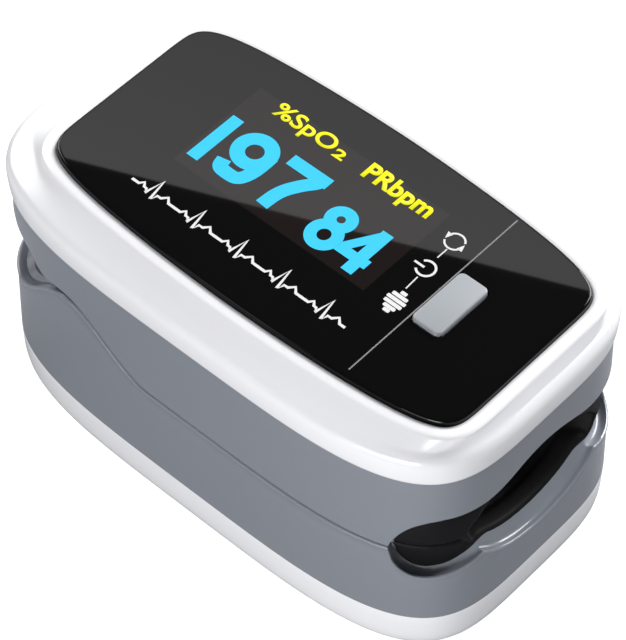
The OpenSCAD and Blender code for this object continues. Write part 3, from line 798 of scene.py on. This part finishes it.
# %% [markdown]
# ## White cover
# A glossy frame round the window. Its side is a low band, its shoulder rounds over into a nearly
# flat slope that climbs to a crisp ridge, and inside the ridge a ledge lies under the window. The
# section is swept from the case's outline to the window's outline, point by point.

# %% Cover
window_line, window_out = oval(WINDOW_HALF, WINDOW_POWER, CASE_COLUMNS)
cover_line, cover_out = oval(CASE_HALF, CASE_POWER, CASE_COLUMNS)
window_line = window_line + np.array([WINDOW_X, 0])
SHOULDER = [(1.9, 26.8), (.5, 26.8), (.37, 26.84), (.3, 26.95), (.24, 27.3), (.16, 28.2), (.12, 29.0),
            (.14, 29.5), (.24, 29.9), (.45, 30.22), (.75, 30.42), (1.05, 30.53)]
RIM = [(1.5, 31.88), (1.4, 31.96), (1.28, 32.02), (1.05, 32.07), (.7, 32.08), (.35, 32.04), (.12, 31.98),
       (.04, 31.9), (.04, 30.5), (-1.5, 30.5), (-1.5, 29.9)]
SLOPE_SHARES = (.25, .5, .75, .93)
SLOPE_HOLLOW = 0.05
rows = [ring(w, z, cover_line, cover_out) for w, z in SHOULDER]
start = ring(SHOULDER[-1][0], SHOULDER[-1][1], cover_line, cover_out)
end = ring(-RIM[0][0], RIM[0][1], window_line, window_out)
for share in SLOPE_SHARES:
    row = start * (1 - share) + end * share
    row[:, 2] -= SLOPE_HOLLOW * 4 * share * (1 - share)
    rows.append(row)
rows += [ring(-v, z, window_line, window_out) for v, z in RIM]
rows += [ring(2.0, 29.9, cover_line, cover_out)]
cover = smooth(rolled("white_cover", rows, section_closed=True), 40)
dress(cover, case_white, "upper_jaw", "case_white", "top_cover")
print("cover:", len(cover.data.polygons), "faces")

# %% [markdown]
# ## Window and button
# The window is a thick polished plate with a rounded edge and a slot for the button. A plate could
# be extruded from a curve. Rolled rows give a true quarter-round edge, and a boolean cuts the slot.

# %% Window
EDGE_R = 0.32
WINDOW_LOW_Z = 30.62
window_rows = [ring(inset, WINDOW_LOW_Z, window_line, window_out) for inset in (1.2, 0)]
for angle in np.linspace(0, math.pi / 2, 9):
    inset, drop = EDGE_R * (1 - math.cos(angle)), EDGE_R * (1 - math.sin(angle))
    window_rows.append(ring(inset, WINDOW_TOP_Z - drop, window_line, window_out))
window_rows.append(ring(EDGE_R + 0.08, WINDOW_TOP_Z, window_line, window_out))
window = rolled("smoked_window", window_rows)
BUTTON_X, BUTTON_HALF, BUTTON_TOP_Z = 17.8, (1.75, 3.7), 33.0
SLOT_PLAY, FLANGE_REACH = 0.15, 0.4


def button_block(name, grow, low_z, high_z, corner, segments):
    """A block with round corners, larger than the button all round by grow."""
    half_x, half_y = BUTTON_HALF[0] + grow, BUTTON_HALF[1] + grow
    obj = block(name, (BUTTON_X - half_x, -half_y, low_z), (BUTTON_X + half_x, half_y, high_z))
    return bevel_where(obj, lambda a, b: abs(a.z - b.z) > 0.2, corner, segments)


carve(window, button_block("cutter", SLOT_PLAY, 29, 34, 0.8, 8))
smooth(window, 40)
dress(window, window_black, "upper_jaw", "window_black", "display_window")

button = button_block("soft_button", 0, 30.3, BUTTON_TOP_Z, 0.65, 8)
bevel_where(button, lambda a, b: min(a.z, b.z) > BUTTON_TOP_Z - 0.1, 0.2, 4)
join(button, button_block("flange", FLANGE_REACH, 29.9, 30.4, 1.2, 6))
smooth(button, 40)
dress(button, button_grey, "button", "button_grey", "power_button")
print("window:", len(window.data.polygons), "faces; button:", len(button.data.polygons))

# %% [markdown]
# ## Figures and signs
# The display shows a reading, a pulse bar and two unit labels. Printed on the window are a wave
# line, a divider and small signs for turning, power and a finger. The labels are text objects made
# into meshes and fitted to their places. Digits and signs are ribbons: flat strips along a line,
# which give the bold digits of such a display, with their round bends and square ends.

# %% Labels
PRINT_Z, PRINT_THICKNESS = 32.615, 0.03


def printed(obj, material):
    """Gives a flat print its thickness and its finish."""
    modify(obj, "SOLIDIFY", thickness=PRINT_THICKNESS * MM, offset=-1)
    edit(obj, outward)
    return dress(obj, material, "upper_jaw", "display_glass")


def label(name, text, low, high, weight):
    """Text made a mesh, fitted between two corners in mm on the window."""
    bpy.ops.object.select_all(action="DESELECT")
    bpy.ops.object.text_add(location=(0, 0, 0))
    letters = bpy.context.object.data
    letters.body = text
    letters.offset = weight
    letters.resolution_u = 8
    bpy.ops.object.convert(target="MESH")
    obj = named(name)
    corners = np.array([v.co for v in obj.data.vertices])
    least, most = corners.min(0), corners.max(0)
    for v in obj.data.vertices:
        v.co.x = (low[0] + (v.co.x - least[0]) / (most[0] - least[0]) * (high[0] - low[0])) * MM
        v.co.y = (low[1] + (v.co.y - least[1]) / (most[1] - least[1]) * (high[1] - low[1])) * MM
        v.co.z = PRINT_Z * MM
    edit(obj, lambda: merge(0.001))
    return printed(obj, figure_yellow)


labels = [
    label("figure_oxygen_unit", "%SpO", (-10.9, 6.1), (-3.2, 8.6), 0.02),
    label("figure_oxygen_two", "2", (-2.9, 6.5), (-1.6, 7.7), 0.034),
    label("figure_pulse_unit", "PRbpm", (0.9, 5.8), (9.2, 8.6), 0.034),
]
print("labels:", [obj.name for obj in labels])

# %% Ribbons
def ribbon(name, points, width, material, closed=False, raised=0.0):
    """A flat line of a width (a number, or one per point) through points in mm on the window."""
    points = np.asarray(points, float)
    if closed:
        points = np.concatenate([points, points[:1]])
    widths = np.broadcast_to(width, (len(points),))
    ahead = np.gradient(points, axis=0)
    if closed:
        ahead[0] = ahead[-1] = points[1] - points[-2]
    ahead /= np.linalg.norm(ahead, axis=1)[:, None]
    side = np.stack([-ahead[:, 1], ahead[:, 0]], 1) * widths[:, None] / 2
    lift = np.full((len(points), 1), PRINT_Z + raised)
    rows = [np.concatenate([points + way, lift], 1) for way in (-side, side)]
    return printed(edit(sheet(name, np.array(rows)), merge), material)


def arc(centre, radius, start, end, steps):
    turn = np.radians(np.linspace(start, end, steps))
    return np.stack([centre[0] + radius * np.cos(turn), centre[1] + radius * np.sin(turn)], 1)


def curved(points):
    """A smooth line through a few points, by corner cutting that keeps the ends."""
    points = np.asarray(points, float)
    for _ in range(4):
        cut = np.empty((2 * len(points) - 2, 2))
        cut[0::2] = points[:-1] * 0.75 + points[1:] * 0.25
        cut[1::2] = points[:-1] * 0.25 + points[1:] * 0.75
        points = np.concatenate([points[:1], cut, points[-1:]])
    return points


def loop(x, y, half_x, half_y):
    turn = 2 * np.pi * np.arange(48) / 48
    return np.stack([x + half_x * np.cos(turn), y + half_y * np.sin(turn)], 1)


# %% Digits
# Where two strokes of a digit cross, one is a step higher, so that no two faces share a plane.
BOLD, MEDIUM, STEP = 1.5, 1.24, 0.006
NINE_TAIL = [(-6.85, 2.4), (-6.8, 1.2), (-6.85, -.4), (-7.4, -1.85), (-8.6, -1.95), (-9.9, -1.85),
             (-10.15, -.75)]
SEVEN_STEM = [(-1.1, 3.7), (-1.3, 2.9), (-2.3, 1.7), (-3.4, -.3), (-3.55, -2.65)]
ribbon("figure_pulse_bar", [(-12.65, -2.7), (-12.65, 4.0)], 1.4, figure_blue)
ribbon("figure_nine_bowl", loop(-8.55, 1.85, 1.72, 1.7), BOLD, figure_blue, closed=True)
ribbon("figure_nine_tail", curved(NINE_TAIL), BOLD, figure_blue, raised=STEP)
ribbon("figure_seven_bar", [(-5.35, 3.5), (-.4, 3.5)], 1.45, figure_blue)
ribbon("figure_seven_stem", curved(SEVEN_STEM), BOLD, figure_blue, raised=STEP)
ribbon("figure_eight_top", loop(3.35, 1.02, 1.08, 1.06), MEDIUM, figure_blue, closed=True)
ribbon("figure_eight_low", loop(3.35, -1.42, 1.32, 1.36), MEDIUM, figure_blue, closed=True, raised=STEP)
ribbon("figure_four_stem", [(7.85, -3.4), (7.85, 2.7)], 1.3, figure_blue, raised=2 * STEP)
ribbon("figure_four_bar", [(5.2, -1.55), (8.95, -1.55)], 1.15, figure_blue, raised=STEP)
ribbon("figure_four_slope", [(7.75, 2.25), (5.6, -1.3)], 1.0, figure_blue)

# %% Signs
ribbon("sign_divider", [(15.8, -11.9), (15.8, 0), (15.8, 12.2)], 0.14, print_grey)

# The white signs from here on are print with a painted glow.
# The wave: flat stretches and sharp beats.
WAVE_START, WAVE_END_X, BEATS = (-15.0, -8.5), 12.3, 5
BEAT = [(0, 0), (.9, 0), (1.25, .45), (1.6, 0), (1.9, 0), (2.15, -.5), (2.6, 1.75), (3.05, -.75),
        (3.35, 0), (3.8, 0), (4.3, .55), (4.8, 0)]
BEAT_LENGTH = 5.46
wave = [(WAVE_START[0] + BEAT_LENGTH * k + x, WAVE_START[1] + y) for k in range(BEATS) for x, y in BEAT]
ribbon("sign_wave", wave + [(WAVE_END_X, WAVE_START[1])], 0.3, print_white_painted_glow)

TURN_CENTRE, TURN_R, ARROW_WIDTHS = (13.1, 6.2), 1.0, (0.62, 0.32, 0.02)
ribbon("sign_turn_a", arc(TURN_CENTRE, TURN_R, 25, 160, 16), 0.2, print_white_painted_glow)
ribbon("sign_turn_b", arc(TURN_CENTRE, TURN_R, 205, 340, 16), 0.2, print_white_painted_glow)
ribbon("sign_turn_head_a", [(12.13, 6.75), (12.11, 6.35), (12.1, 5.95)], ARROW_WIDTHS, print_white_painted_glow)
ribbon("sign_turn_head_b", [(14.07, 5.65), (14.09, 6.05), (14.1, 6.45)], ARROW_WIDTHS, print_white_painted_glow)
ribbon("sign_power_ring", arc((13.2, 1.9), 0.95, 218, 502, 30), 0.24, print_white_painted_glow)
ribbon("sign_power_tick", [(13.0, 1.9), (12.4, 1.9), (11.8, 1.9)], 0.24, print_white_painted_glow)
ribbon("sign_link_a", [(13.15, 5.0), (13.15, 4.3), (13.15, 3.6)], 0.13, print_white_painted_glow)
ribbon("sign_link_b", [(13.3, 0.6), (13.35, -0.3), (13.4, -1.2)], 0.13, print_white_painted_glow)

# The finger: short rows one below the other, each from a low x to a high x, with narrower tips.
FINGER_ROWS = [(13.35, 14.05, -1.8), (12.75, 14.55, -2.3), (12.55, 14.75, -2.84),
               (12.65, 14.7, -3.38), (13.0, 14.4, -3.9), (13.35, 14.1, -4.35)]
ROW_TIP, ROW_WIDTHS = 0.12, (0.3, 0.42, 0.42, 0.3)
for index, (low_x, high_x, y) in enumerate(FINGER_ROWS):
    row = [(low_x, y), (low_x + ROW_TIP, y), (high_x - ROW_TIP, y), (high_x, y)]
    ribbon(f"sign_finger_{index}", row, ROW_WIDTHS, print_white_painted_glow)

# %% [markdown]
# ## Silicone pads
# Two soft black liners hold the finger. Their sheets are the frame's own channels, and at the
# opening each has a thick front that fills the space behind the case's edge and swells into a soft
# bead. The parts are fused by a voxel remesh and relaxed, as liquid silicone would set.

# %% Pads
def front_strip(name, low_z, high_z, outer, inner):
    """The pad's thick front: a closed strip behind the case's wall, all round the opening."""
    order = np.argsort(np.arctan2(case_line[:, 1], case_line[:, 0]))
    chosen = order[x_of[order] > MOUTH_X - 0.5]
    low_z, high_z = low_z[chosen], high_z[chosen]
    line, out = case_line[chosen], case_out[chosen]
    mid = (low_z + high_z) / 2
    low_in, mid_in, high_in = [np.broadcast_to(i, x_of.shape)[chosen] for i in outer]
    section = [(low_in + .3, low_z), (low_in, low_z + .2), (mid_in, mid), (high_in, high_z - .2),
               (high_in + .25, high_z), (inner, high_z), (inner, mid), (inner, low_z)]
    rows = [ring(i, z, line, out) for i, z in section]
    return rolled(name, rows, around=False, section_closed=True)


def set_silicone(obj, voxel=0.26, passes=5):
    """Fuses a pad's parts into one skin and relaxes it."""
    modify(obj, "REMESH", mode="VOXEL", voxel_size=voxel * MM, adaptivity=0.0)
    modify(obj, "SMOOTH", factor=0.5, iterations=passes)
    only(obj)
    bpy.ops.object.shade_smooth()
    return obj


# The fronts reach the finger channel, whose two faces are arcs.
channel_low = 23.0 - np.sqrt(np.maximum(12.5**2 - y_of**2, 0.1))
channel_high = 9.5 + np.sqrt(np.maximum(12.0**2 - y_of**2, 0.1))
LOWER_TOP, UPPER_LOW, FRONT_DEPTH = 15.88, 15.96, 3.6
lower_top = np.minimum(LOWER_TOP, np.maximum(channel_low, lower_edge_z + 0.5 + 1.15 * scoop_share))
lower_insets = (1.68, 1.35 + 0.35 * scoop_share, 0.98 + 0.7 * scoop_share)
lower_front = front_strip("lower_front", lower_edge_z - 0.9, lower_top, lower_insets, FRONT_DEPTH)
upper_low = np.maximum(UPPER_LOW, channel_high)
upper_insets = (0.95, 1.15, 1.62)
upper_strip = front_strip("upper_front", upper_low, upper_edge_z + 0.7, upper_insets, FRONT_DEPTH)
lower_pad = set_silicone(join(copy_of("lower_pad", "lower_silicone"), lower_front))
dress(lower_pad, silicone, "lower_jaw", "silicone_black", "lower_pad")
upper_pad = set_silicone(join(copy_of("upper_pad", "upper_silicone"), upper_strip))
dress(upper_pad, silicone, "upper_jaw", "silicone_black", "upper_pad")
print("pads:", len(lower_pad.data.polygons), len(upper_pad.data.polygons), "faces")

# %% [markdown]
# ## White tray and battery door
# The tray closes the lower jaw from below. Its edge is rounded in one sweep, its floor has a
# dovetail slot for the door and four sunk holes for the screws. The rolled cup is carved by
# boolean cutters, and the door keeps the frame's shape with softened edges.

# %% Tray
TRAY_OUTER = [(12.0, 0.0), (3.0, 0.0), (1.5, 0.0), (1.12, 0.03), (.82, .18), (.55, .42), (.36, .75),
              (.22, 1.2), (.1, 2.0), (.05, 3.0), (.02, 4.2), (.03, 5.1), (.06, 5.3), (.14, 5.38), (.3, 5.4)]
TRAY_INNER = [(1.4, 5.4), (1.55, 5.2), (1.8, 1.5), (2.0, 1.3), (12.0, 1.3)]
tray_line, tray_out = oval(CASE_HALF, CASE_POWER, 260)
FLOOR_SHARE = 0.3
rows = [ring(i, z, tray_line, tray_out) for i, z in TRAY_OUTER + TRAY_INNER]
for row in (rows[0], rows[-1]):
    row[:, :2] = tray_line * FLOOR_SHARE
tray = rolled("white_tray", rows)
SCREW_SPOTS = [(x, y) for x in (-21.5, 21.5) for y in (-13.2, 13.2)]
POST_R, SINK_R, HOLE_R = 1.9, 1.45, 0.85
SLOT_END_X, SLOT_TOP_Z, SLOT_HIGH_HALF, SLOT_LOW_HALF = 20.35, 1.35, 11.55, 9.9


def rod(name, x, y, low, high, radius):
    bpy.ops.object.select_all(action="DESELECT")
    bpy.ops.mesh.primitive_cylinder_add(vertices=32, radius=radius * MM, depth=(high - low) * MM,
                                        location=Vector((x, y, (low + high) / 2)) * MM)
    return settle(named(name))


for x, y in SCREW_SPOTS:
    carve(tray, rod("post", x, y, 0.3, BASE_Z, POST_R), "UNION")
door_cut = block("cutter", (-40, -SLOT_HIGH_HALF, -1), (SLOT_END_X, SLOT_HIGH_HALF, SLOT_TOP_Z))
for v in door_cut.data.vertices:
    v.co.y = math.copysign((SLOT_HIGH_HALF if v.co.z > 0 else SLOT_LOW_HALF) * MM, v.co.y)
carve(tray, door_cut)
for x, y in SCREW_SPOTS:
    carve(tray, rod("cutter", x, y, -1, 1.6, SINK_R))
    carve(tray, rod("cutter", x, y, -2, 8, HOLE_R))
smooth(tray, 35)
dress(tray, case_white, "lower_jaw", "case_white", "bottom_cover")
door = softened("battery_door", "white_door", 0.1, 3)
dress(door, case_white, "door", "case_white", "battery_door")
print("tray:", len(tray.data.polygons), "faces; door:", len(door.data.polygons))

# %% [markdown]
# ## Springs, cells and cable
# A torsion spring is wire wound on a rod, with two straight legs. The Screw modifier could wind it.
# A tube rolled along the same stations as the frame's spring also carries the legs in one piece.
# The cells are round all along, so a profile spun about their axis is the natural way.

# %% Wire
def tube(name, path, radius, sides=12):
    """A round wire along points in mm, with closed ends."""
    path = np.asarray(path, float)
    ahead = np.gradient(path, axis=0)
    ahead /= np.linalg.norm(ahead, axis=1)[:, None]
    side = np.cross(ahead[0], [0.3, 0.9, 0.2])
    rows = []
    for point, direction in zip(path, ahead):
        side = side - direction * np.dot(side, direction)
        side /= np.linalg.norm(side)
        up = np.cross(direction, side)
        turn = 2 * np.pi * np.arange(sides) / sides
        rows.append(point + radius * (np.cos(turn)[:, None] * side + np.sin(turn)[:, None] * up))
    return smooth(rolled(name, rows), 60)


HINGE_X, HINGE_Z = -16.0, 17.3


def torsion_spring(name, start_y):
    low, high, coil_r, pitch, leg = -73, 69 + 360 * 5, 1.9, 0.75, 9.2

    def station(turn, slide):
        a = math.radians(turn)
        return (HINGE_X + coil_r * math.cos(a) - slide * math.sin(a),
                start_y + pitch * (turn - low) / 360,
                HINGE_Z + coil_r * math.sin(a) + slide * math.cos(a))

    turns = np.linspace(low, high, 190)
    path = [station(low, -leg), station(low, -leg / 2), station(low, -0.3)]
    path += [station(a, 0) for a in turns] + [station(high, 0.3), station(high, leg / 2), station(high, leg)]
    return tube(name, path, 0.3)


for side_name, start_y in (("left", 5.2), ("right", -9.3)):
    spring = torsion_spring(f"wire_spring_{side_name}", start_y)
    dress(spring, steel, "lower_jaw", "steel", f"torsion_spring_{side_name}")


def cone_path(origin, heading, length):
    turn = np.linspace(0, 3, 100)
    radius = 3.5 - 1.3 * turn / 3
    angle = 2 * np.pi * turn
    x = origin[0] + heading * (0.3 + (length - 0.6) * turn / 3)
    return np.stack([x, origin[1] + radius * np.cos(angle), origin[2] + radius * np.sin(angle)], 1)


CELL_Z, CELL_Y, REAR_PLATE_X, FRONT_PLATE_X = 6.45, 5.3, -27.6, 20.05
CELL_L, NUB_L = 43.7, 0.8
spring_l = FRONT_PLATE_X - REAR_PLATE_X - CELL_L - NUB_L - 0.02
cone_a = tube("cell_spring", cone_path((REAR_PLATE_X, CELL_Y, CELL_Z), 1, spring_l), 0.25, 8)
cone_b = tube("cell_spring_b", cone_path((FRONT_PLATE_X, -CELL_Y, CELL_Z), -1, spring_l), 0.25, 8)
join(cone_a, cone_b)
dress(cone_a, nickel, "lower_jaw", "nickel_plate", "contact_springs")
print("springs wound")

# %% Cells
def cell(name, y, start_x, heading):
    """One battery: a can with rolled edges, a film, a nub at one end and a dished base."""
    top, nub = CELL_L, CELL_L + NUB_L
    profile = [(0, .05), (3.2, .05), (3.5, 0), (4.7, 0), (5.0, .12), (5.1, .35), (5.1, .8), (5.2, .9),
               (5.2, top - 1.0), (5.12, top - .9), (5.05, top - .4), (4.8, top - .1), (4.4, top),
               (2.6, top), (2.4, top - .15), (1.95, top - .15), (1.9, top), (1.88, nub - .2),
               (1.7, nub), (0, nub)]
    turn = 2 * np.pi * np.arange(64) / 64
    rows = []
    for radius, along_x in profile:
        x = np.full(64, start_x + heading * along_x)
        rows.append(np.stack([x, y + radius * np.cos(turn), CELL_Z + radius * np.sin(turn)], 1))
    return smooth(rolled(name, rows), 30)


left_cell = cell("dry_cell_left", CELL_Y, FRONT_PLATE_X - 0.02 - NUB_L - CELL_L, 1)
right_cell = cell("dry_cell_right", -CELL_Y, REAR_PLATE_X + 0.02 + NUB_L + CELL_L, -1)
dress(left_cell, cell_film, "lower_jaw", "cell_jacket", "battery_left")
dress(right_cell, cell_film, "lower_jaw", "cell_jacket", "battery_right")

# The cable's route in x and z, from the main board, behind the pin, to the detector board.
BEND = np.array([(-20.5, 25.1), (-20.5, 22), (-20.9, 20.2), (-21, 18.2), (-20.4, 16.2), (-19.2, 14.4),
                 (-17.6, 13.1), (-15.8, 12.55), (-14, 12.5), (-7, 12.5), (0.8, 12.5)])
CABLE_HALF = (2.4, 0.09)
way = np.concatenate([[0], np.cumsum(np.hypot(*np.diff(BEND, axis=0).T))])
fine_way = np.linspace(0, way[-1], 90)
fine_bend = np.stack([np.interp(fine_way, way, BEND[:, k]) for k in (0, 1)], 1)
for _ in range(5):
    fine_bend[1:-1] = (fine_bend[:-2] + fine_bend[1:-1] + fine_bend[2:]) / 3
ahead = np.gradient(fine_bend, axis=0)
ahead /= np.linalg.norm(ahead, axis=1)[:, None]
out_side = np.stack([-ahead[:, 1], ahead[:, 0]], 1)
rows = []
for y_side, out_way in ((-1, -1), (1, -1), (1, 1), (-1, 1)):
    x, z = (fine_bend + out_side * CABLE_HALF[1] * out_way).T
    rows.append(np.stack([x, np.full(len(x), CABLE_HALF[0] * y_side), z], 1))
cable = smooth(rolled("flat_cable", rows, around=False, section_closed=True), 30)
dress(cable, flex_amber, None, "flex_amber", "flex_cable")
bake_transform(cable)
print("cells and cable:", len(left_cell.data.polygons), len(cable.data.polygons), "faces")

# %% [markdown]
# ## Works inside
# Boards, chips, screws, contacts and the display have the right shape in the frame already. The
# small ones are copied and softened, because even a screw head has a rounded rim. The flat boards,
# the display and the clear windows keep the frame's mesh and only get their finish.

# %% Softened works
WORKS = [
    ("display_frame", "display_carrier", carrier_white, "upper_jaw", "frame_plastic", 0.2),
    ("main_chip", "measuring_chip", chip_black, "upper_jaw", "chip_black", 0.06),
    ("board_parts", "small_parts", part_tan, "upper_jaw", "part_tan", 0.06),
    ("tact_switch", "click_switch", nickel, "upper_jaw", "nickel_plate", 0.08),
    ("buzzer", "sounder", chip_black, "upper_jaw", "chip_black", 0.15),
    ("board_screws", "board_screw_set", steel, "upper_jaw", "steel", 0.06),
    ("case_screws", "case_screw_set", steel, "lower_jaw", "steel", 0.06),
    ("emitter_led", "lamp_package", lamp_white, "upper_jaw", "lamp_white", 0.06),
    ("photodiode", "detector_chip", chip_black, "lower_jaw", "chip_black", 0.06),
    ("rear_contact", "rear_contact_plate", nickel, "lower_jaw", "nickel_plate", 0.08),
    ("front_contacts", "front_contact_plates", nickel, "lower_jaw", "nickel_plate", 0.08),
    ("hinge_pin", "steel_pin", steel, "lower_jaw", "steel", 0.15),
]
for node, name, material, body, slot, width in WORKS:
    dress(softened(node, name, width), material, body, slot, node)

for node, material in (("display_panel", display_glass), ("main_board", board_green),
                       ("emitter_board", board_green), ("detector_board", board_green),
                       ("emitter_window", clear_window), ("detector_window", clear_window)):
    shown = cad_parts[node]
    for material_slot in shown.material_slots:
        material_slot.material = material
    if not shown.material_slots:
        shown.data.materials.append(material)
print("works:", len(WORKS), "softened")
